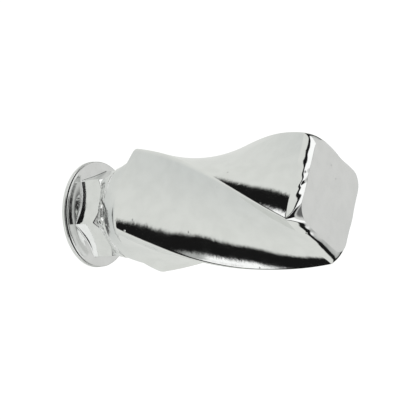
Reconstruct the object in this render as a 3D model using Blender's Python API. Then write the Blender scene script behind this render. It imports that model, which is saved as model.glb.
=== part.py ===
"""Screw-on window handle: a square steel bar, twisted a quarter turn, welded to a flanged hexagon foot.

The handle screws on to a stud. A captive base washer under the flange stays still on the window's face while
the handle turns. Everything is in metres. The origin is the centre of the washer's seating face, and +Z runs
along the bar, from the foot to the flat end.
"""

import math

import bmesh
import bpy
from mathutils import Matrix, Vector

MM = 0.001

# Twisted bar
BAR_SIDE = 18 * MM
BAR_EDGE_RADIUS = 0.4 * MM
BAR_FULL_START = 12.6 * MM
BAR_BEVEL_START = 50.5 * MM
BAR_END = 53.0 * MM
BAR_END_SIDE = 16.9 * MM
BAR_END_CORNER_RADIUS = 3.0 * MM
BAR_END_ANGLE = math.radians(45)
TWIST = math.radians(90)
TWIST_SLACK = 0.108
BAR_RINGS = 34
SIDE_STEPS = 5
CORNER_STEPS = 3

# Inner end of the bar: a ground taper with a steeper shoulder. The slopes are millimetres outwards for each
# millimetre up.
TAPER_BOTTOM = 7.6 * MM
TAPER_RADIUS = 8.45 * MM
TAPER_SLOPE = 0.45
SHOULDER_BOTTOM = 11.3 * MM
SHOULDER_SLOPE = 1.7
WELD_PREP_RADIUS = 5.6 * MM
WELD_PREP_RISE = 0.45

# Tapped socket for an M8 stud
THREAD_MINOR_RADIUS = 3.4 * MM
STUD_CLEARANCE_RADIUS = 4.3 * MM
SOCKET_DEPTH = 20 * MM
DRILL_POINT = 2.0 * MM

# Flanged hexagon foot
HEX_ACROSS_FLATS = 15 * MM
HEX_CORNER_ANGLE = math.radians(10.7)
NUT_TOP = 7.3 * MM
NUT_CHAMFER_RADIUS = 7.4 * MM
NUT_CHAMFER_ANGLE = math.radians(50)
FLANGE_RADIUS = 10.3 * MM
FLANGE_EDGE = 0.2 * MM
FLANGE_MID_RADIUS = 8.7 * MM
FLANGE_MID_Z = 1.5 * MM
FLANGE_TOP_RADIUS = 6.9 * MM
FLANGE_TOP_Z = 2.35 * MM
COUNTERBORE_RADIUS = 5.9 * MM
COUNTERBORE_TOP = 4.3 * MM

# Captive base washer with its spigot
WASHER_RADIUS = 10.45 * MM
WASHER_THICKNESS = 0.75 * MM
WASHER_EDGE = 0.15 * MM
WASHER_GAP = 0.25 * MM
SPIGOT_RADIUS = 5.6 * MM
SPIGOT_TOP = 3.5 * MM

# Snap ring in its two grooves
RING_BOTTOM = 2.55 * MM
RING_THICKNESS = 0.6 * MM
RING_INNER_RADIUS = 5.3 * MM
RING_OUTER_RADIUS = 6.25 * MM
RING_OPENING = math.radians(35)
GROOVE_GAP = 0.15 * MM
SPIGOT_GROOVE_RADIUS = RING_INNER_RADIUS - GROOVE_GAP
NUT_GROOVE_RADIUS = RING_OUTER_RADIUS + 0.25 * MM

# Plastic friction washer between the spigot's end and the foot
FRICTION_BOTTOM = 3.7 * MM
FRICTION_TOP = 4.1 * MM
FRICTION_INNER_RADIUS = 4.5 * MM
FRICTION_OUTER_RADIUS = 5.6 * MM

# Weld bead in the notch between the foot and the bar
WELD_GAP = 0.3 * MM
WELD_LUMP_ANGLE = math.radians(118)
WELD_LUMP_WIDTH = math.radians(11)
WELD_LUMP_HEIGHT = 0.45 * MM
WELD_RIPPLES = 24
WELD_RIPPLE_HEIGHT = 0.06 * MM
WELD_STEPS = 72

ROUND_STEPS = 64
OVERCUT = 1 * MM


def clear_scene():
    for obj in list(bpy.data.objects):
        bpy.data.objects.remove(obj)


def make_material(name, color, roughness, metallic):
    material = bpy.data.materials.new(name)
    material.use_nodes = True
    shader = material.node_tree.nodes["Principled BSDF"]
    shader.inputs["Base Color"].default_value = (*color, 1)
    shader.inputs["Roughness"].default_value = roughness
    shader.inputs["Metallic"].default_value = metallic
    return material


def add_object(name, bm, material=None):
    """Turn a finished bmesh into an object with outward faces and smooth round surfaces."""
    bmesh.ops.recalc_face_normals(bm, faces=bm.faces)
    mesh = bpy.data.meshes.new(name)
    bm.to_mesh(mesh)
    bm.free()
    mesh.shade_smooth()
    mesh.set_sharp_from_angle(angle=math.radians(30))
    if material:
        mesh.materials.append(material)
    obj = bpy.data.objects.new(name, mesh)
    bpy.context.scene.collection.objects.link(obj)
    return obj


def as_cutter(obj):
    obj.hide_render = True
    obj.display_type = "WIRE"
    return obj


def combine(obj, other, operation):
    modifier = obj.modifiers.new(other.name, "BOOLEAN")
    modifier.operation = operation
    modifier.solver = "EXACT"
    modifier.object = other


def turned(name, profile, material=None, steps=ROUND_STEPS):
    """Spin a closed outline of (radius, height) points round Z."""
    bm = bmesh.new()
    points = [bm.verts.new((radius, 0, height)) for radius, height in profile]
    edges = [bm.edges.new((a, b)) for a, b in zip(points, points[1:] + points[:1])]
    bmesh.ops.spin(
        bm, geom=points + edges, axis=(0, 0, 1), cent=(0, 0, 0), angle=math.tau, steps=steps, use_merge=True
    )
    bmesh.ops.remove_doubles(bm, verts=bm.verts, dist=1e-7)
    bmesh.ops.dissolve_degenerate(bm, edges=bm.edges, dist=1e-7)
    return add_object(name, bm, material)


def lofted(name, loops, material=None, closed=False):
    """Bridge a row of loops that have the same number of points, and cap the ends unless the row is closed."""
    bm = bmesh.new()
    rows = [[bm.verts.new(point) for point in loop] for loop in loops]
    following = rows[1:] + rows[:1] if closed else rows[1:]
    for row, after in zip(rows, following):
        for i in range(len(row)):
            j = (i + 1) % len(row)
            bm.faces.new((row[i], row[j], after[j], after[i]))
    if not closed:
        bm.faces.new(rows[0])
        bm.faces.new(rows[-1])
    return add_object(name, bm, material)


def twist_angle(z):
    """Angle of the bar's section at height z. The twist is a little slower near the foot than near the end."""
    share = (z - BAR_FULL_START) / (BAR_BEVEL_START - BAR_FULL_START)
    return TWIST * (share - 1 + TWIST_SLACK * share * (share - 1)) + BAR_END_ANGLE


def rounded_square(side, corner_radius, angle, z):
    """Points of a square with rounded corners, whose first corner is at the given angle."""
    corner_centre = (side / 2 - corner_radius) * math.sqrt(2)
    points = []
    for corner in range(4):
        direction = angle + corner * math.pi / 2
        centre = corner_centre * Vector((math.cos(direction), math.sin(direction), 0))
        for step in range(CORNER_STEPS + 1):
            turn = direction + math.pi / 2 * (step / CORNER_STEPS - 0.5)
            points.append(centre + corner_radius * Vector((math.cos(turn), math.sin(turn), 0)))
    outline = []
    for i, point in enumerate(points):
        outline.append(point)
        if i % (CORNER_STEPS + 1) == CORNER_STEPS:
            following = points[(i + 1) % len(points)]
            outline += [point.lerp(following, step / SIDE_STEPS) for step in range(1, SIDE_STEPS)]
    return [point + Vector((0, 0, z)) for point in outline]


def make_twisted_bar(material):
    start = TAPER_BOTTOM - OVERCUT
    heights = [start + (BAR_BEVEL_START - start) * i / BAR_RINGS for i in range(BAR_RINGS + 1)]
    loops = [rounded_square(BAR_SIDE, BAR_EDGE_RADIUS, twist_angle(z), z) for z in heights]
    loops.append(rounded_square(BAR_END_SIDE, BAR_END_CORNER_RADIUS, BAR_END_ANGLE, BAR_END))
    bar = lofted("twisted_bar", loops, material)

    top = BAR_END + OVERCUT
    below = TAPER_BOTTOM - OVERCUT
    outer_radius = BAR_SIDE
    shoulder_radius = TAPER_RADIUS + TAPER_SLOPE * (SHOULDER_BOTTOM - TAPER_BOTTOM)
    taper = turned(
        "taper_cutter",
        [
            (0, top),
            (outer_radius, top),
            (outer_radius, SHOULDER_BOTTOM + (outer_radius - shoulder_radius) / SHOULDER_SLOPE),
            (shoulder_radius, SHOULDER_BOTTOM),
            (TAPER_RADIUS - TAPER_SLOPE * OVERCUT, below),
            (0, below),
        ],
    )
    combine(bar, as_cutter(taper), "INTERSECT")

    # The weld preparation leaves a notch above the foot.
    prep = turned(
        "weld_prep_cutter",
        [
            (0, top),
            (outer_radius, top),
            (outer_radius, TAPER_BOTTOM + (outer_radius - WELD_PREP_RADIUS) * WELD_PREP_RISE),
            (WELD_PREP_RADIUS, TAPER_BOTTOM),
            (0, TAPER_BOTTOM),
        ],
    )
    combine(bar, as_cutter(prep), "INTERSECT")

    socket = turned(
        "socket_cutter",
        [
            (0, SOCKET_DEPTH + DRILL_POINT),
            (THREAD_MINOR_RADIUS, SOCKET_DEPTH),
            (THREAD_MINOR_RADIUS, TAPER_BOTTOM + STUD_CLEARANCE_RADIUS - THREAD_MINOR_RADIUS),
            (STUD_CLEARANCE_RADIUS, TAPER_BOTTOM),
            (STUD_CLEARANCE_RADIUS, TAPER_BOTTOM - OVERCUT),
            (0, TAPER_BOTTOM - OVERCUT),
        ],
        steps=32,
    )
    combine(bar, as_cutter(socket), "DIFFERENCE")
    return bar


def weld_swell(angle):
    """How far the bead stands out at this angle: even ripples, and one lump where the pass ended."""
    offset = math.remainder(angle - WELD_LUMP_ANGLE, math.tau)
    lump = WELD_LUMP_HEIGHT * math.exp(-((offset / WELD_LUMP_WIDTH) ** 2))
    return lump + WELD_RIPPLE_HEIGHT * math.cos(WELD_RIPPLES * angle)


def make_weld_bead(material):
    """A ring that fills the notch, WELD_GAP clear of the bar's weld preparation and of the foot."""
    inner_radius = WELD_PREP_RADIUS + WELD_GAP * math.hypot(1, WELD_PREP_RISE) / WELD_PREP_RISE
    steepness = TAPER_SLOPE * WELD_PREP_RISE
    top_radius = (TAPER_RADIUS - steepness * inner_radius) / (1 - steepness)
    top_z = TAPER_BOTTOM + WELD_PREP_RISE * (top_radius - inner_radius)
    middle_radius = (TAPER_RADIUS + top_radius) / 2
    loops = []
    for i in range(WELD_STEPS):
        angle = math.tau * i / WELD_STEPS
        section = [
            (inner_radius, TAPER_BOTTOM),
            (TAPER_RADIUS, TAPER_BOTTOM),
            (middle_radius + weld_swell(angle), (TAPER_BOTTOM + top_z) / 2),
            (top_radius, top_z),
        ]
        outward = Vector((math.cos(angle), math.sin(angle), 0))
        loops.append([outward * radius + Vector((0, 0, height)) for radius, height in section])
    return lofted("weld_bead", loops, material, closed=True)


def make_flange_nut(material):
    # create_cone puts its first corner at +Y.
    hexagon = bmesh.new()
    bmesh.ops.create_cone(
        hexagon,
        cap_ends=True,
        segments=6,
        radius1=HEX_ACROSS_FLATS / math.sqrt(3),
        radius2=HEX_ACROSS_FLATS / math.sqrt(3),
        depth=NUT_TOP - FLANGE_MID_Z + OVERCUT,
        matrix=Matrix.Rotation(HEX_CORNER_ANGLE - math.pi / 2, 4, "Z"),
    )
    bmesh.ops.translate(hexagon, vec=(0, 0, (NUT_TOP + FLANGE_MID_Z) / 2), verts=hexagon.verts)
    nut = add_object("flange_nut", hexagon, material)

    # The top corners are chamfered by a steep cone that meets the top face just inside the flats.
    outer_radius = HEX_ACROSS_FLATS / math.sqrt(3) + OVERCUT
    chamfer_drop = (outer_radius - NUT_CHAMFER_RADIUS) * math.tan(NUT_CHAMFER_ANGLE)
    bottom = FLANGE_MID_Z - OVERCUT
    chamfer = turned(
        "chamfer_cutter",
        [
            (0, NUT_TOP),
            (NUT_CHAMFER_RADIUS, NUT_TOP),
            (outer_radius, NUT_TOP - chamfer_drop),
            (outer_radius, bottom),
            (0, bottom),
        ],
    )
    combine(nut, as_cutter(chamfer), "INTERSECT")

    flange_bottom = WASHER_THICKNESS + WASHER_GAP
    flange = turned(
        "flange_union",
        [
            (0, FLANGE_TOP_Z),
            (FLANGE_TOP_RADIUS, FLANGE_TOP_Z),
            (FLANGE_MID_RADIUS, FLANGE_MID_Z),
            (FLANGE_RADIUS, flange_bottom + FLANGE_EDGE),
            (FLANGE_RADIUS, flange_bottom),
            (0, flange_bottom),
        ],
    )
    combine(nut, as_cutter(flange), "UNION")

    groove_low = RING_BOTTOM - GROOVE_GAP
    groove_high = RING_BOTTOM + RING_THICKNESS + GROOVE_GAP
    bore = turned(
        "bore_cutter",
        [
            (0, NUT_TOP + OVERCUT),
            (STUD_CLEARANCE_RADIUS, NUT_TOP + OVERCUT),
            (STUD_CLEARANCE_RADIUS, COUNTERBORE_TOP),
            (COUNTERBORE_RADIUS, COUNTERBORE_TOP),
            (COUNTERBORE_RADIUS, groove_high),
            (NUT_GROOVE_RADIUS, groove_high),
            (NUT_GROOVE_RADIUS, groove_low),
            (COUNTERBORE_RADIUS, groove_low),
            (COUNTERBORE_RADIUS, flange_bottom - OVERCUT),
            (0, flange_bottom - OVERCUT),
        ],
    )
    combine(nut, as_cutter(bore), "DIFFERENCE")
    return nut


def make_base_washer(material):
    groove_low = RING_BOTTOM - GROOVE_GAP
    groove_high = RING_BOTTOM + RING_THICKNESS + GROOVE_GAP
    profile = [
        (STUD_CLEARANCE_RADIUS, SPIGOT_TOP),
        (SPIGOT_RADIUS, SPIGOT_TOP),
        (SPIGOT_RADIUS, groove_high),
        (SPIGOT_GROOVE_RADIUS, groove_high),
        (SPIGOT_GROOVE_RADIUS, groove_low),
        (SPIGOT_RADIUS, groove_low),
        (SPIGOT_RADIUS, WASHER_THICKNESS),
        (WASHER_RADIUS - WASHER_EDGE, WASHER_THICKNESS),
        (WASHER_RADIUS, WASHER_THICKNESS - WASHER_EDGE),
        (WASHER_RADIUS, WASHER_EDGE),
        (WASHER_RADIUS - WASHER_EDGE, 0),
        (STUD_CLEARANCE_RADIUS, 0),
    ]
    return turned("base_washer", profile, material)


def make_retaining_ring(material):
    steps = 44
    sweep = math.tau - RING_OPENING
    section = [
        (RING_INNER_RADIUS, RING_BOTTOM),
        (RING_OUTER_RADIUS, RING_BOTTOM),
        (RING_OUTER_RADIUS, RING_BOTTOM + RING_THICKNESS),
        (RING_INNER_RADIUS, RING_BOTTOM + RING_THICKNESS),
    ]
    loops = []
    for i in range(steps + 1):
        angle = RING_OPENING / 2 + sweep * i / steps
        loops.append([(radius * math.cos(angle), radius * math.sin(angle), z) for radius, z in section])
    return lofted("retaining_ring", loops, material)


def make_friction_washer(material):
    profile = [
        (FRICTION_INNER_RADIUS, FRICTION_TOP),
        (FRICTION_OUTER_RADIUS, FRICTION_TOP),
        (FRICTION_OUTER_RADIUS, FRICTION_BOTTOM),
        (FRICTION_INNER_RADIUS, FRICTION_BOTTOM),
    ]
    return turned("friction_washer", profile, material, steps=48)


def main():
    clear_scene()
    handle = bpy.data.objects.new("handle_turn_axis", None)
    bpy.context.scene.collection.objects.link(handle)
    turning = [
        make_twisted_bar(make_material("bar_chrome", (0.80, 0.81, 0.80), 0.08, 1)),
        make_weld_bead(make_material("weld_chrome", (0.78, 0.79, 0.78), 0.12, 1)),
        make_flange_nut(make_material("foot_chrome", (0.79, 0.80, 0.79), 0.09, 1)),
    ]
    for obj in turning:
        obj.parent = handle
    make_base_washer(make_material("washer_chrome", (0.79, 0.80, 0.81), 0.08, 1))
    make_retaining_ring(make_material("spring_steel", (0.35, 0.35, 0.36), 0.35, 1))
    make_friction_washer(make_material("nylon", (0.85, 0.84, 0.80), 0.45, 0))


main()
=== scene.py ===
"""Looks of the twisted-bar window handle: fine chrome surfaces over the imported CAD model."""

import math

import bpy
import numpy as np
from mathutils import Matrix, Vector


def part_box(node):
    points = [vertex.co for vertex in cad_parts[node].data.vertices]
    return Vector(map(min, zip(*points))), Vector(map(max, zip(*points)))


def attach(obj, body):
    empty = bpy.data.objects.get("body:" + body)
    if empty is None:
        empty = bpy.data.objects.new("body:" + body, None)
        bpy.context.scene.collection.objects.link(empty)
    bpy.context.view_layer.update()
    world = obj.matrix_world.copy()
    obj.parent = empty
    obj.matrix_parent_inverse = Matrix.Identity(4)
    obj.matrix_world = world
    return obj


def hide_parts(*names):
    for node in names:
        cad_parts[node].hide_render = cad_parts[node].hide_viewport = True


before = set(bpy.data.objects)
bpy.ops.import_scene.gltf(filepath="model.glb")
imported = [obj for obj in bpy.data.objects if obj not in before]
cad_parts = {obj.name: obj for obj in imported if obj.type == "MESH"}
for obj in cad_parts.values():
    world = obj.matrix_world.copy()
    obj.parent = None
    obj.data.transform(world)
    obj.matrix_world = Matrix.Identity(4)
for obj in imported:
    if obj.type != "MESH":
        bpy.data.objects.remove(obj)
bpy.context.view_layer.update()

MM = 0.001

# Driving dimensions, as in the CAD model.
BAR_SIDE = 18 * MM
BAR_EDGE_RADIUS = 0.35 * MM
BAR_WORN_EDGE_RADIUS = 1.1 * MM
BAR_FULL_START = 12.6 * MM
BAR_BEVEL_START = 50.5 * MM
BAR_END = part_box("twisted_bar")[1].z
BAR_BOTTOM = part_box("twisted_bar")[0].z
END_ANGLE = math.radians(45)
TWIST = math.radians(90)
TWIST_SLACK = 0.108
TAPER_RADIUS = 8.45 * MM
TAPER_SLOPE = 0.45
TAPER_SHOULDER = 3.7 * MM
TAPER_SHOULDER_SLOPE = 1.7
HEX_ACROSS_FLATS = 15 * MM
HEX_CORNER_ANGLE = math.radians(10.7)
THREAD_MINOR_RADIUS = 3.4 * MM
THREAD_MAJOR_RADIUS = 4.0 * MM
THREAD_PITCH = 1.25 * MM
STUD_CLEARANCE_RADIUS = 4.3 * MM
SOCKET_DEPTH = 20 * MM
DRILL_POINT = 2 * MM
NUT_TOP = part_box("flange_nut")[1].z
NUT_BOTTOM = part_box("flange_nut")[0].z
FLANGE_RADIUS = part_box("flange_nut")[1].x
COUNTERBORE_RADIUS = 5.9 * MM
COUNTERBORE_TOP = 4.3 * MM
RING_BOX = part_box("retaining_ring")
RING_GROOVE_GAP = 0.15 * MM
RING_GROOVE_RADIUS = 6.5 * MM
RING_GROOVE_BOTTOM = RING_BOX[0].z - RING_GROOVE_GAP
RING_GROOVE_TOP = RING_BOX[1].z + RING_GROOVE_GAP
WASHER_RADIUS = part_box("base_washer")[1].x
WASHER_THICKNESS = 0.75 * MM
SPIGOT_RADIUS = 5.6 * MM
SPIGOT_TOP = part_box("base_washer")[1].z
SPIGOT_GROOVE_RADIUS = 5.15 * MM


# ---------------------------------------------------------------- mesh helpers

def mesh_object(name, points, quads, fans=()):
    """An object from points, quads as rows of indices, and fans of (centre index, ring of indices)."""
    faces = [tuple(int(i) for i in quad) for quad in quads]
    for centre, ring in fans:
        faces += [(int(a), int(b), int(centre)) for a, b in zip(ring, np.roll(ring, -1))]
    mesh = bpy.data.meshes.new(name)
    mesh.from_pydata([tuple(point) for point in points], [], faces)
    mesh.validate()
    mesh.shade_smooth()
    obj = bpy.data.objects.new(name, mesh)
    bpy.context.scene.collection.objects.link(obj)
    return obj


def sheet_object(name, rows, closed_rows=False, cap_first=None, cap_last=None):
    """A surface through closed rows of points. It faces out if the rows run up the outside.

    A cap is the point that the first or last row is fanned to.
    """
    rows = np.asarray(rows, float)
    count, width = rows.shape[:2]
    index = np.arange(count * width).reshape(count, width)
    below = index if closed_rows else index[:-1]
    above = np.roll(index, -1, axis=0) if closed_rows else index[1:]
    quads = np.stack(
        [below, np.roll(below, -1, axis=1), np.roll(above, -1, axis=1), above], axis=-1
    ).reshape(-1, 4)
    points = list(rows.reshape(-1, 3))
    fans = []
    if cap_first is not None:
        fans.append((len(points), index[0][::-1]))
        points.append(cap_first)
    if cap_last is not None:
        fans.append((len(points), index[-1]))
        points.append(cap_last)
    return mesh_object(name, points, quads, fans)


def smoothstep(x):
    x = np.clip(x, 0, 1)
    return x * x * (3 - 2 * x)


def wander(angles, cycles, seed):
    """A gentle unevenness round a closed loop, between about -1 and 1, made of whole numbers of waves."""
    phases = np.random.default_rng(seed).uniform(0, math.tau, len(cycles))
    waves = [np.sin(count * angles + phase) for count, phase in zip(cycles, phases)]
    return sum(waves) / math.sqrt(len(cycles))


def smooth_min(a, b, blend):
    """The smaller of a and b, with the corner between them rounded over the given length."""
    h = np.clip(0.5 + (b - a) / (2 * blend), 0, 1)
    return b + (a - b) * h - blend * h * (1 - h)


def rounded_polygon(sides, inradius, corner_radius, corner_steps, side_steps):
    """Outline of a regular polygon with rounded corners, its first corner centred on angle 0."""
    half = math.pi / sides
    centre = (inradius - corner_radius) / math.cos(half)
    outline = []
    for corner in range(sides):
        middle = 2 * half * corner
        arc = [
            (
                centre * math.cos(middle) + corner_radius * math.cos(middle + half * turn),
                centre * math.sin(middle) + corner_radius * math.sin(middle + half * turn),
            )
            for turn in np.linspace(-1, 1, corner_steps + 1)
        ]
        next_middle = middle + 2 * half
        following = (
            centre * math.cos(next_middle) + corner_radius * math.cos(next_middle - half),
            centre * math.sin(next_middle) + corner_radius * math.sin(next_middle - half),
        )
        outline += arc
        last = np.array(arc[-1])
        side = np.array(following) - last
        outline += [tuple(last + side * step / side_steps) for step in range(1, side_steps)]
    return np.array(outline)


def turned_by(points, angle):
    c, s = math.cos(angle), math.sin(angle)
    return np.stack([points[:, 0] * c - points[:, 1] * s, points[:, 0] * s + points[:, 1] * c], axis=1)


def at_height(points, z):
    """Lift an outline of (x, y) to height z, which is one number or one for each point."""
    return np.column_stack([points, np.broadcast_to(z, len(points))])


def circle(radius, angles):
    return np.stack([radius * np.cos(angles), radius * np.sin(angles)], axis=1)


def arc_rows(centre, radius, start, end, steps):
    """(r, z) points of an arc in a turned profile, angles in degrees from the outward direction."""
    angles = np.radians(np.linspace(start, end, steps + 1))
    return [(centre[0] + radius * math.cos(a), centre[1] + radius * math.sin(a)) for a in angles]


# ---------------------------------------------------------------- twisted bar

BAR_CORNER_STEPS = 10
BAR_SIDE_STEPS = 80
BAR_ROWS = 260
# Tapped socket: a blunt drill point, a thread that runs out before it, and a chamfered mouth.
DRILL_RING = 0.3
THREAD_ROWS = 130
THREAD_END_GAP = 0.4 * MM
THREAD_RUN_OUT = 2 * MM
THREAD_FLANK_SLOPE = 2.6
THREAD_ROOT_FLAT = 0.15
UNDERSIDE_RADIUS = 6.4 * MM
UNDERSIDE_EDGE = 0.2 * MM
# Hand-ground bevel round the flat end: its outer edge is higher in the middle of a side than at a corner.
BEVEL_SIDE_RISE = 0.3 * MM
BEVEL_WANDER = 0.35 * MM
BEVEL_BULGE = 0.18 * MM
BEVEL_STEPS = 16
BEVEL_MARGIN = 0.03
# The side between the first two corners was ground the most coarsely, and the flat end is off centre.
GRINDING_DEPTH = 0.06 * MM
COARSE_SIDE = math.radians(45)
COARSE_SIDE_FOCUS = 3
END_FACE_SHIFT = 0.35 * MM
END_FACE_HALF = 8.4 * MM
END_FACE_CORNER = 3.0 * MM
END_FACE_WANDER = 0.12 * MM
END_FACE_RINGS = (0.995, 0.97, 0.6, 0.2)
# Unevenness round the bar, each as (numbers of waves, seed).
BEVEL_EDGE_WAVES = ((2, 5, 9), 4)
END_FACE_WAVES = ((1, 3, 6), 9)
GRINDING_WAVES = ((9, 14, 21), 12)
# Twisting drew the square out of true: the diagonal through the first corner swells round this height.
SWELL = 0.045
SWELL_HEIGHT = 28 * MM
SWELL_LENGTH = 12 * MM
TAPER_BLEND = 1.2 * MM
WAVINESS = 0.015 * MM
WAVE_RISE = 2.1 * MM
WAVES_ROUND = 3


def twist_angle(z):
    share = (z - BAR_FULL_START) / (BAR_BEVEL_START - BAR_FULL_START)
    return TWIST * (share - 1 + TWIST_SLACK * share * (share - 1)) + END_ANGLE


def ground_radius(z):
    """How far out the ground foot of the bar reaches: a cone with a steeper shoulder."""
    height = z - BAR_BOTTOM
    steeper = TAPER_SHOULDER_SLOPE - TAPER_SLOPE
    return TAPER_RADIUS + TAPER_SLOPE * height + steeper * np.maximum(height - TAPER_SHOULDER, 0)


def bar_row(worn, crisp, z):
    """The bar's section at heights z, one for each point, twisted and ground back to the taper.

    The edges are worn round near the foot and crisp near the flat end.
    """
    share = smoothstep((z - BAR_BOTTOM) / (BAR_BEVEL_START - BAR_BOTTOM))[:, None]
    section = worn + (crisp - worn) * share
    angle = twist_angle(z)
    c, s = np.cos(angle), np.sin(angle)
    first = section[:, 0] * (1 + SWELL * np.exp(-(((z - SWELL_HEIGHT) / SWELL_LENGTH) ** 2)))
    second = section[:, 1]
    x = first * c - second * s
    y = first * s + second * c
    reach = np.hypot(x, y)
    uneven = WAVINESS * np.sin(z / WAVE_RISE + WAVES_ROUND * np.arctan2(y, x))
    kept = smooth_min(reach + uneven, ground_radius(z), TAPER_BLEND)
    return np.column_stack([x * kept / reach, y * kept / reach, z])


def bevel_edge(turn):
    """Height of the bevel's outer edge round the section, which has a corner every quarter turn."""
    side = (1 - np.cos(4 * turn)) / 2
    return BAR_BEVEL_START + BEVEL_SIDE_RISE * side + BEVEL_WANDER * wander(turn, *BEVEL_EDGE_WAVES)


def make_twisted_bar():
    crisp = rounded_polygon(4, BAR_SIDE / 2, BAR_EDGE_RADIUS, BAR_CORNER_STEPS, BAR_SIDE_STEPS)
    worn = rounded_polygon(4, BAR_SIDE / 2, BAR_WORN_EDGE_RADIUS, BAR_CORNER_STEPS, BAR_SIDE_STEPS)
    end_section = rounded_polygon(4, END_FACE_HALF, END_FACE_CORNER, BAR_CORNER_STEPS, BAR_SIDE_STEPS)
    base_angles = np.arctan2(crisp[:, 1], crisp[:, 0])
    edge = bevel_edge(base_angles)
    foot_angles = base_angles + twist_angle(BAR_BOTTOM)
    uniform = np.unwrap(foot_angles)[0] + np.arange(len(crisp)) * math.tau / len(crisp)

    rows = []
    # Tapped socket, from the drill point down to the mouth.
    drill_ring_height = SOCKET_DEPTH + DRILL_POINT * (1 - DRILL_RING)
    rows.append(at_height(circle(THREAD_MINOR_RADIUS * DRILL_RING, uniform), drill_ring_height))
    rows.append(at_height(circle(THREAD_MINOR_RADIUS, uniform), SOCKET_DEPTH))
    mouth = BAR_BOTTOM + STUD_CLEARANCE_RADIUS - THREAD_MINOR_RADIUS
    for z in np.linspace(SOCKET_DEPTH - THREAD_END_GAP, mouth, THREAD_ROWS):
        turn = (uniform / math.tau - z / THREAD_PITCH) % 1
        ridge = np.clip(THREAD_FLANK_SLOPE * np.abs(turn - 0.5) - THREAD_ROOT_FLAT, 0, 1)
        fade = min(1, (SOCKET_DEPTH - z) / THREAD_RUN_OUT)
        depth = (THREAD_MAJOR_RADIUS - THREAD_MINOR_RADIUS) * (1 - ridge) * fade
        rows.append(at_height(circle(THREAD_MINOR_RADIUS + depth, uniform), z))
    rows.append(at_height(circle(STUD_CLEARANCE_RADIUS, uniform), BAR_BOTTOM))
    # Hidden underside, then the ground taper and the twisted sides.
    rows.append(at_height(circle(UNDERSIDE_RADIUS, foot_angles), BAR_BOTTOM))
    start = BAR_BOTTOM + UNDERSIDE_EDGE
    for share in np.linspace(0, 1, BAR_ROWS + 1):
        rows.append(bar_row(worn, crisp, start + (edge - start) * share))
    # Ground bevel and flat end.
    outer = rows[-1]
    stray = 1 + END_FACE_WANDER / END_FACE_HALF * wander(base_angles, *END_FACE_WAVES)
    end_outline = turned_by(end_section * stray[:, None], END_ANGLE) + (END_FACE_SHIFT, 0)
    inner = at_height(end_outline, BAR_END)
    outward = at_height(circle(1, base_angles + END_ANGLE), 1)
    coarseness = ((1 + np.cos(base_angles - COARSE_SIDE)) / 2) ** COARSE_SIDE_FOCUS
    grinding = GRINDING_DEPTH * coarseness * wander(base_angles, *GRINDING_WAVES)
    for share in np.linspace(BEVEL_MARGIN, 1 - BEVEL_MARGIN, BEVEL_STEPS):
        swell = (BEVEL_BULGE + grinding) * math.sin(math.pi * share)
        rows.append(outer + (inner - outer) * share + outward * swell[:, None])
    rows.append(inner)
    for scale in END_FACE_RINGS:
        shrunk = inner.copy()
        shrunk[:, :2] *= scale
        rows.append(shrunk)
    return sheet_object(
        "twisted_bar_skin", rows,
        cap_first=(0, 0, SOCKET_DEPTH + DRILL_POINT), cap_last=(0, 0, BAR_END),
    )


# ---------------------------------------------------------------- flanged hexagon foot

HEX_CHAMFER_RADIUS = 7.3 * MM
HEX_CHAMFER_SLOPE = 1.25
HEX_EDGE_BLEND = 0.2 * MM
HEX_TOP_INSET = 0.3 * MM
# The least cosine that a side of the hexagon is divided by, for directions that it doesn't face.
LEAST_FACING = 0.4
FOOT_STEPS = 720
FOOT_ANGLES = np.arange(FOOT_STEPS) * math.tau / FOOT_STEPS
FILLET = 0.2 * MM
FLANGE_EDGE_RADIUS = 0.2 * MM
FLANGE_SEAT_INSET = 0.12 * MM
COUNTERBORE_CHAMFER = 0.2 * MM
# The flange's upper side: nearly flat at the rim, then a cone that rises to the hexagon.
FLANGE_RIM_HEIGHT = 0.4 * MM
FLANGE_RIM_SLOPE = 0.07
FLANGE_CONE_RADIUS = 8.7 * MM
FLANGE_CONE_HEIGHT = 1.5 * MM
FLANGE_CONE_SLOPE = 0.47
FLANGE_BLEND = 0.3 * MM
# The foot is round near the axis and grows out of round towards the rim.
OVALITY = 0.022
OVAL_ANGLE = math.radians(135)
OVAL_START = 8 * MM
OVAL_BLEND = 2 * MM


def hexagon_reach(angles):
    """Distance from the axis to the hexagon's side in each direction, with its corners a little rounded."""
    reach = np.full(len(angles), HEX_ACROSS_FLATS)
    for flat in range(6):
        facing = np.cos(angles - HEX_CORNER_ANGLE - math.radians(30 + 60 * flat))
        side = HEX_ACROSS_FLATS / 2 / np.maximum(facing, LEAST_FACING)
        reach = smooth_min(reach, side, HEX_EDGE_BLEND)
    return reach


def out_of_round(angles):
    """Factor by which the flange and the washer reach further out in the direction of OVAL_ANGLE."""
    return 1 + OVALITY * np.cos(2 * (angles - OVAL_ANGLE))


def flange_height(radius):
    """Height of the dished flange's upper side at a radius."""
    rim = NUT_BOTTOM + FLANGE_RIM_HEIGHT
    shallow = rim + FLANGE_RIM_SLOPE * (FLANGE_RADIUS - radius)
    steep = FLANGE_CONE_HEIGHT + FLANGE_CONE_SLOPE * (FLANGE_CONE_RADIUS - radius)
    return -smooth_min(-shallow, -steep, FLANGE_BLEND)


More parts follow.
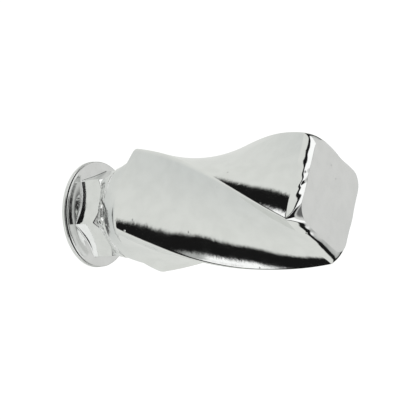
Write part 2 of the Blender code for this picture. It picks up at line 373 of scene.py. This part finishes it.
def make_flange_nut():
    angles = FOOT_ANGLES
    reach = hexagon_reach(angles)
    outward = circle(1, angles)

    def stretch(radius):
        share = smoothstep((radius - OVAL_START) / OVAL_BLEND)
        return (1 + (out_of_round(angles) - 1) * share)[:, None]

    rows = []
    inside = [
        (STUD_CLEARANCE_RADIUS, NUT_TOP),
        (STUD_CLEARANCE_RADIUS, COUNTERBORE_TOP),
        (COUNTERBORE_RADIUS, COUNTERBORE_TOP),
        (COUNTERBORE_RADIUS, RING_GROOVE_TOP),
        (RING_GROOVE_RADIUS, RING_GROOVE_TOP),
        (RING_GROOVE_RADIUS, RING_GROOVE_BOTTOM),
        (COUNTERBORE_RADIUS, RING_GROOVE_BOTTOM),
        (COUNTERBORE_RADIUS, NUT_BOTTOM + COUNTERBORE_CHAMFER),
        (COUNTERBORE_RADIUS + COUNTERBORE_CHAMFER, NUT_BOTTOM),
        (FLANGE_RADIUS - FLANGE_SEAT_INSET, NUT_BOTTOM),
    ]
    rim_centre = (FLANGE_RADIUS - FLANGE_EDGE_RADIUS, NUT_BOTTOM + FLANGE_EDGE_RADIUS)
    rim = arc_rows(rim_centre, FLANGE_EDGE_RADIUS, -90, 80, 12)
    for radius, z in inside + rim:
        rows.append(at_height(outward * radius * stretch(radius), z))
    # Dished flange, from the rim in to the fillet round the hexagon.
    for share in np.linspace(0.02, 1, 26):
        radius = rim_centre[0] + (reach + FILLET - rim_centre[0]) * share
        rows.append(at_height(outward * radius[:, None] * stretch(radius), flange_height(radius)))
    foot = flange_height(reach + FILLET)
    for turn in np.radians(np.linspace(15, 75, 5)):
        radius = reach + FILLET * (1 - math.sin(turn))
        rows.append(at_height(outward * radius[:, None], foot + FILLET * (1 - math.cos(turn))))
    # Hexagon flats and the chamfer over their corners.
    top = NUT_TOP - np.maximum(reach - HEX_CHAMFER_RADIUS, 0) * HEX_CHAMFER_SLOPE
    for share in np.linspace(0.04, 1, 20):
        rows.append(at_height(outward * reach[:, None], foot + FILLET + (top - foot - FILLET) * share))
    for share in np.linspace(0.1, 1, 8):
        radius = reach + (HEX_CHAMFER_RADIUS - HEX_TOP_INSET - reach) * share
        rows.append(at_height(outward * radius[:, None], top + (NUT_TOP - top) * share))
    return sheet_object("flange_nut_skin", rows, closed_rows=True)


# ---------------------------------------------------------------- weld bead

WELD_BOTTOM = NUT_TOP - 1.0 * MM
WELD_TOP = 8.6 * MM
WELD_FOOT_RADIUS = 8.5 * MM
# The bead's upper and lower edges run this far inside the bar and the hexagon.
WELD_ROOT = 0.15 * MM
WELD_BULGE = 0.10 * MM
WELD_ROWS = 41
WELD_INSIDE_AT_BOTTOM = 0.5 * MM
WELD_INSIDE_AT_TOP = 0.8 * MM
WELD_RIPPLES = 64
WELD_RIPPLE_HEIGHT = 0.02 * MM
WELD_RIPPLE_WAVES = ((3, 7, 11), 21)
# The pass ends in one oval lump, with a groove burnt in round it.
LUMP_ANGLE = math.radians(118)
LUMP_HEIGHT_ABOVE_SEAT = 7.7 * MM
LUMP_HALF_WIDTH = 1.4 * MM
LUMP_HALF_HEIGHT = 0.55 * MM
LUMP_RISE = 0.5 * MM
UNDERCUT = 0.35 * MM
# Measured from the lump's centre, in lump half sizes.
UNDERCUT_DISTANCE = 1.4
UNDERCUT_WIDTH = 0.25


def weld_surface(angles, z, radius):
    """How far the bead stands out from a plain blend: ripples, the lump and its undercut."""
    across = np.angle(np.exp(1j * (angles - LUMP_ANGLE))) * radius / LUMP_HALF_WIDTH
    distance = np.hypot(across, (z - LUMP_HEIGHT_ABOVE_SEAT) / LUMP_HALF_HEIGHT)
    lump = LUMP_RISE * np.exp(-(distance**4))
    groove = UNDERCUT * np.exp(-(((distance - UNDERCUT_DISTANCE) / UNDERCUT_WIDTH) ** 2))
    phase = WELD_RIPPLES * angles + 2 * wander(angles, *WELD_RIPPLE_WAVES)
    return lump - groove + WELD_RIPPLE_HEIGHT * np.cos(phase)


def make_weld_bead():
    angles = FOOT_ANGLES
    reach = hexagon_reach(angles)
    outward = circle(1, angles)
    side = np.minimum(reach, WELD_FOOT_RADIUS) - WELD_ROOT
    top_radius = ground_radius(WELD_TOP) - WELD_ROOT
    rows = [at_height(outward * (side - WELD_INSIDE_AT_BOTTOM)[:, None], WELD_BOTTOM)]
    for share in np.linspace(0, 1, WELD_ROWS):
        z = WELD_BOTTOM + (WELD_TOP - WELD_BOTTOM) * share
        radius = side + (top_radius - side) * smoothstep(share)
        proud = WELD_ROOT + WELD_BULGE + weld_surface(angles, z, radius)
        proud = proud * math.sin(math.pi * share) ** 0.5
        rows.append(at_height(outward * (radius + proud)[:, None], z))
    rows.append(at_height(outward * (top_radius - WELD_INSIDE_AT_TOP), WELD_TOP))
    return sheet_object("weld_bead_skin", rows, closed_rows=True)


# ---------------------------------------------------------------- base washer

WASHER_STEPS = 256
WASHER_EDGE_RADIUS = 0.22 * MM
WASHER_EDGE_MARGIN = 0.01 * MM
WASHER_BORE_CHAMFER = 0.15 * MM
SPIGOT_FILLET = 0.05 * MM
# The washer is drawn a little small, because being out of round takes its rim past the CAD one.
WASHER_SCALE = 0.99


def make_base_washer():
    angles = np.arange(WASHER_STEPS) * math.tau / WASHER_STEPS
    edge = WASHER_EDGE_RADIUS
    edge_centre = WASHER_RADIUS - edge
    profile = [
        (STUD_CLEARANCE_RADIUS + WASHER_BORE_CHAMFER, 0),
        (edge_centre - WASHER_EDGE_MARGIN, 0),
        *arc_rows((edge_centre, edge), edge, -90, 0, 8),
        *arc_rows((edge_centre, WASHER_THICKNESS - edge), edge, 0, 90, 8),
        (edge_centre - WASHER_EDGE_MARGIN, WASHER_THICKNESS),
        (SPIGOT_RADIUS + SPIGOT_FILLET, WASHER_THICKNESS),
        (SPIGOT_RADIUS, WASHER_THICKNESS + SPIGOT_FILLET),
        (SPIGOT_RADIUS, RING_GROOVE_BOTTOM),
        (SPIGOT_GROOVE_RADIUS, RING_GROOVE_BOTTOM),
        (SPIGOT_GROOVE_RADIUS, RING_GROOVE_TOP),
        (SPIGOT_RADIUS, RING_GROOVE_TOP),
        (SPIGOT_RADIUS, SPIGOT_TOP),
        (STUD_CLEARANCE_RADIUS, SPIGOT_TOP),
        (STUD_CLEARANCE_RADIUS, WASHER_BORE_CHAMFER),
    ]
    rows = []
    for radius, z in profile:
        oval = WASHER_SCALE * out_of_round(angles)[:, None] if radius > OVAL_START else 1
        rows.append(at_height(circle(radius, angles) * oval, z))
    return sheet_object("base_washer_skin", rows, closed_rows=True)


# ---------------------------------------------------------------- materials

class Graph:
    """Short names for wiring up shader nodes."""

    def __init__(self, tree):
        self.tree = tree

    def add(self, kind, inputs=(), **settings):
        node = self.tree.nodes.new(kind)
        for name, value in settings.items():
            setattr(node, name, value)
        for key, value in dict(inputs).items():
            if isinstance(value, bpy.types.NodeSocket):
                self.tree.links.new(value, node.inputs[key])
            else:
                node.inputs[key].default_value = value
        return node

    def math(self, operation, *values):
        return self.add("ShaderNodeMath", dict(enumerate(values)), operation=operation).outputs[0]

    def step(self, value, low, high):
        """0 below low, 1 above high, smooth between them."""
        inputs = {"Value": value, "From Min": low, "From Max": high}
        return self.add("ShaderNodeMapRange", inputs, interpolation_type="SMOOTHSTEP").outputs["Result"]

    def mix(self, factor, first, second):
        inputs = {0: factor, 6: first, 7: second}
        return self.add("ShaderNodeMix", inputs, data_type="RGBA").outputs[2]


CHROME_COLORS = ((0.84, 0.85, 0.84), (0.80, 0.81, 0.80))
# Relief as (feature size, depth), and pits as (spacing, depth). A pit's radius is a share of the spacing.
ORANGE_PEEL = (2.5 * MM, 0.02 * MM)
PLATING_GRAIN = (0.3 * MM, 0.004 * MM)
FINE_PLATING_GRAIN = (0.3 * MM, 0.001 * MM)
PITS = (3.5 * MM, 0.05 * MM)
PIT_SHARE = 0.07


def surface(name, colors, roughness, metallic, grain, relief, pits=None):
    """A material whose colour and roughness drift a little, with relief from noise.

    colors and roughness are the two ends of a drift, and grain is the size of its patches. relief is a
    row of (feature size, depth), the coarsest first. pits is (spacing, depth). Sizes are in metres.
    """
    material = bpy.data.materials.new(name)
    material.use_nodes = True
    graph = Graph(material.node_tree)
    shader = material.node_tree.nodes["Principled BSDF"]
    shader.inputs["Metallic"].default_value = metallic
    place = graph.add("ShaderNodeTexCoord").outputs["Object"]
    patches = {"Vector": place, "Scale": 1 / grain, "Detail": 3.0}
    drift = graph.step(graph.add("ShaderNodeTexNoise", patches).outputs[0], 0.3, 0.7)
    tint = graph.mix(drift, (*colors[0], 1), (*colors[1], 1))
    dulling = graph.math("MULTIPLY_ADD", drift, roughness[1] - roughness[0], roughness[0])
    heights = []
    for size, depth in relief:
        noise = {"Vector": place, "Scale": 1 / size, "Detail": 2.0}
        heights.append((graph.add("ShaderNodeTexNoise", noise).outputs[0], depth))
    if pits:
        spacing, depth = pits
        distance = graph.add("ShaderNodeTexVoronoi", {"Vector": place, "Scale": 1 / spacing}).outputs[0]
        heights.append((graph.step(distance, 0.0, PIT_SHARE), depth))
    normal = None
    for height, depth in heights:
        inputs = {"Height": height, "Distance": depth}
        if normal:
            inputs["Normal"] = normal
        normal = graph.add("ShaderNodeBump", inputs).outputs[0]
    material.node_tree.links.new(tint, shader.inputs["Base Color"])
    material.node_tree.links.new(dulling, shader.inputs["Roughness"])
    material.node_tree.links.new(normal, shader.inputs["Normal"])
    return material


def make_bar_chrome():
    relief = [ORANGE_PEEL, PLATING_GRAIN]
    return surface("bar_chrome", CHROME_COLORS, (0.03, 0.08), 1, 3 * MM, relief, PITS)


def make_foot_chrome():
    forged = (1.2 * MM, 0.01 * MM)
    return surface("foot_chrome", CHROME_COLORS, (0.05, 0.12), 1, 2 * MM, [forged, FINE_PLATING_GRAIN])


def make_weld_chrome():
    spatter = (0.6 * MM, 0.04 * MM)
    return surface("weld_chrome", CHROME_COLORS, (0.06, 0.16), 1, 1 * MM, [spatter, PLATING_GRAIN])


def make_washer_chrome():
    return surface("washer_chrome", CHROME_COLORS, (0.04, 0.09), 1, 2 * MM, [ORANGE_PEEL, PLATING_GRAIN])


def make_spring_steel():
    oiled = ((0.33, 0.33, 0.34), (0.22, 0.21, 0.20))
    uneven = (1 * MM, 0.01 * MM)
    rolled = (0.15 * MM, 0.01 * MM)
    return surface("spring_steel", oiled, (0.28, 0.42), 1, 0.8 * MM, [uneven, rolled])


def make_nylon():
    natural = ((0.86, 0.85, 0.81), (0.80, 0.78, 0.72))
    uneven = (1 * MM, 0.01 * MM)
    moulded = (0.1 * MM, 0.008 * MM)
    return surface("nylon", natural, (0.38, 0.52), 0, 1.5 * MM, [uneven, moulded])


# ---------------------------------------------------------------- stage

CAMERA_AZIMUTH = math.radians(120.25)
CAMERA_ELEVATION = math.radians(33.0)
CAMERA_ROLL = math.radians(86.02)
CAMERA_DISTANCE = 0.5693
CAMERA_TARGET = Vector((-0.59 * MM, -0.35 * MM, 26.645 * MM))
CAMERA_LENS = 260
CAMERA_SENSOR = 36


def make_camera():
    back = Vector((
        math.cos(CAMERA_ELEVATION) * math.cos(CAMERA_AZIMUTH),
        math.cos(CAMERA_ELEVATION) * math.sin(CAMERA_AZIMUTH),
        math.sin(CAMERA_ELEVATION),
    ))
    data = bpy.data.cameras.new("camera")
    data.lens = CAMERA_LENS
    data.sensor_width = CAMERA_SENSOR
    data.clip_start = 0.01
    camera = bpy.data.objects.new("camera", data)
    upright = (-back).to_track_quat("-Z", "Y")
    camera.rotation_mode = "QUATERNION"
    camera.rotation_quaternion = upright @ Matrix.Rotation(CAMERA_ROLL, 3, "Z").to_quaternion()
    camera.location = CAMERA_TARGET + back * CAMERA_DISTANCE
    bpy.context.scene.collection.objects.link(camera)
    bpy.context.scene.camera = camera


# The floor lies a hair under the seat, so that the two faces don't coincide.
FLOOR_GAP = 0.02 * MM
FLOOR_SIZE = 6
FLOOR_GREY = 0.3
FLOOR_GLOW = 0.9


def make_floor():
    bpy.ops.mesh.primitive_plane_add(size=FLOOR_SIZE, location=(0, 0, -FLOOR_GAP))
    floor = bpy.context.object
    floor.name = "floor"
    material = bpy.data.materials.new("pale_floor")
    material.use_nodes = True
    shader = material.node_tree.nodes["Principled BSDF"]
    shader.inputs["Base Color"].default_value = (FLOOR_GREY, FLOOR_GREY, FLOOR_GREY, 1)
    shader.inputs["Roughness"].default_value = 0.9
    shader.inputs["Emission Color"].default_value = (1, 1, 1, 1)
    shader.inputs["Emission Strength"].default_value = FLOOR_GLOW
    floor.data.materials.append(material)
    floor.visible_glossy = False


# A plain studio as the polished metal mirrors it: pale floor, grey walls, an unlit strip where they meet,
# a dim ceiling, two soft boxes and a dark flag. Angles are in degrees, and colours are radiances. Seen
# directly the studio is white.
FLOOR_NEAR = (0.65, 0.67, 0.66)
FLOOR_FAR = (0.80, 0.81, 0.78)
WALL_LOW_COLOR = (0.45, 0.46, 0.45)
WALL_COLOR = (0.72, 0.72, 0.71)
WALL_LIT_FROM = 25.0
CEILING_COLOR = (0.15, 0.15, 0.15)
CEILING_BOTTOM = 60
CEILING_SOFTNESS = 8
DARK_COLOR = (0.01, 0.01, 0.01)
SOFTBOX_COLOR = (1.15, 1.15, 1.15)
STRIP_BOTTOM = -12.0
STRIP_TOP = 3.0
STRIP_SOFTNESS = 2
# Each panel: azimuth from CAMERA_AZIMUTH, half width, elevation, half height, softness, colour.
PANELS = [
    (-60.0, 45.0, 20.0, 20.0, 5.0, SOFTBOX_COLOR),
    (60.0, 45.0, 20.0, 20.0, 5.0, SOFTBOX_COLOR),
    (0.0, 45.0, 30.0, 20.0, 5.0, DARK_COLOR),
]


def edge_at(graph, elevation, height, softness):
    """0 below a level edge in the studio and 1 above it."""
    return graph.step(elevation, height - softness, height + softness)


def panel_mask(graph, azimuth, elevation, panel):
    middle, half_width, height, half_height, softness, _ = panel
    across = graph.math("WRAP", graph.math("SUBTRACT", azimuth, middle), 180.0, -180.0)
    up = graph.math("SUBTRACT", elevation, height)
    masks = []
    for offset, half in ((across, half_width), (up, half_height)):
        distance = graph.math("ABSOLUTE", offset)
        masks.append(graph.step(distance, half + softness, half - softness))
    return graph.math("MULTIPLY", *masks)


def make_world():
    world = bpy.data.worlds.new("studio")
    bpy.context.scene.world = world
    world.use_nodes = True
    graph = Graph(world.node_tree)
    background = world.node_tree.nodes["Background"]
    direction = graph.add("ShaderNodeTexCoord").outputs["Generated"]
    parts = graph.add("ShaderNodeSeparateXYZ", {0: direction})
    to_degrees = math.degrees(1)
    turn = graph.math("ARCTAN2", parts.outputs["Y"], parts.outputs["X"])
    azimuth = graph.math("MULTIPLY_ADD", turn, to_degrees, -math.degrees(CAMERA_AZIMUTH))
    elevation = graph.math("MULTIPLY", graph.math("ARCSINE", parts.outputs["Z"]), to_degrees)

    lit = graph.step(elevation, STRIP_TOP, WALL_LIT_FROM)
    walls = graph.mix(lit, (*WALL_LOW_COLOR, 1), (*WALL_COLOR, 1))
    above_walls = edge_at(graph, elevation, CEILING_BOTTOM, CEILING_SOFTNESS)
    room = graph.mix(above_walls, walls, (*CEILING_COLOR, 1))
    for panel in PANELS:
        room = graph.mix(panel_mask(graph, azimuth, elevation, panel), room, (*panel[5], 1))
    far = graph.step(elevation, -90.0, STRIP_BOTTOM)
    floor = graph.mix(far, (*FLOOR_NEAR, 1), (*FLOOR_FAR, 1))
    above_floor = edge_at(graph, elevation, STRIP_BOTTOM, STRIP_SOFTNESS)
    above_strip = edge_at(graph, elevation, STRIP_TOP, STRIP_SOFTNESS)
    color = graph.mix(above_floor, floor, (*DARK_COLOR, 1))
    color = graph.mix(above_strip, color, room)
    seen = graph.add("ShaderNodeLightPath").outputs["Is Camera Ray"]
    color = graph.mix(seen, color, (1, 1, 1, 1))
    world.node_tree.links.new(color, background.inputs["Color"])


# ---------------------------------------------------------------- assembly


def dress(piece, body, node, material):
    """Put a visual piece in its CAD node's place, on the node's body."""
    piece.data.materials.clear()
    piece.data.materials.append(material)
    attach(piece, body)
    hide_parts(node)


bpy.context.scene.view_settings.view_transform = "Standard"
make_camera()
make_floor()
make_world()
dress(make_twisted_bar(), "handle", "twisted_bar", make_bar_chrome())
dress(make_flange_nut(), "handle", "flange_nut", make_foot_chrome())
dress(make_weld_bead(), "handle", "weld_bead", make_weld_chrome())
dress(make_base_washer(), "base", "base_washer", make_washer_chrome())
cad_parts["retaining_ring"].material_slots[0].material = make_spring_steel()
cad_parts["friction_washer"].material_slots[0].material = make_nylon()
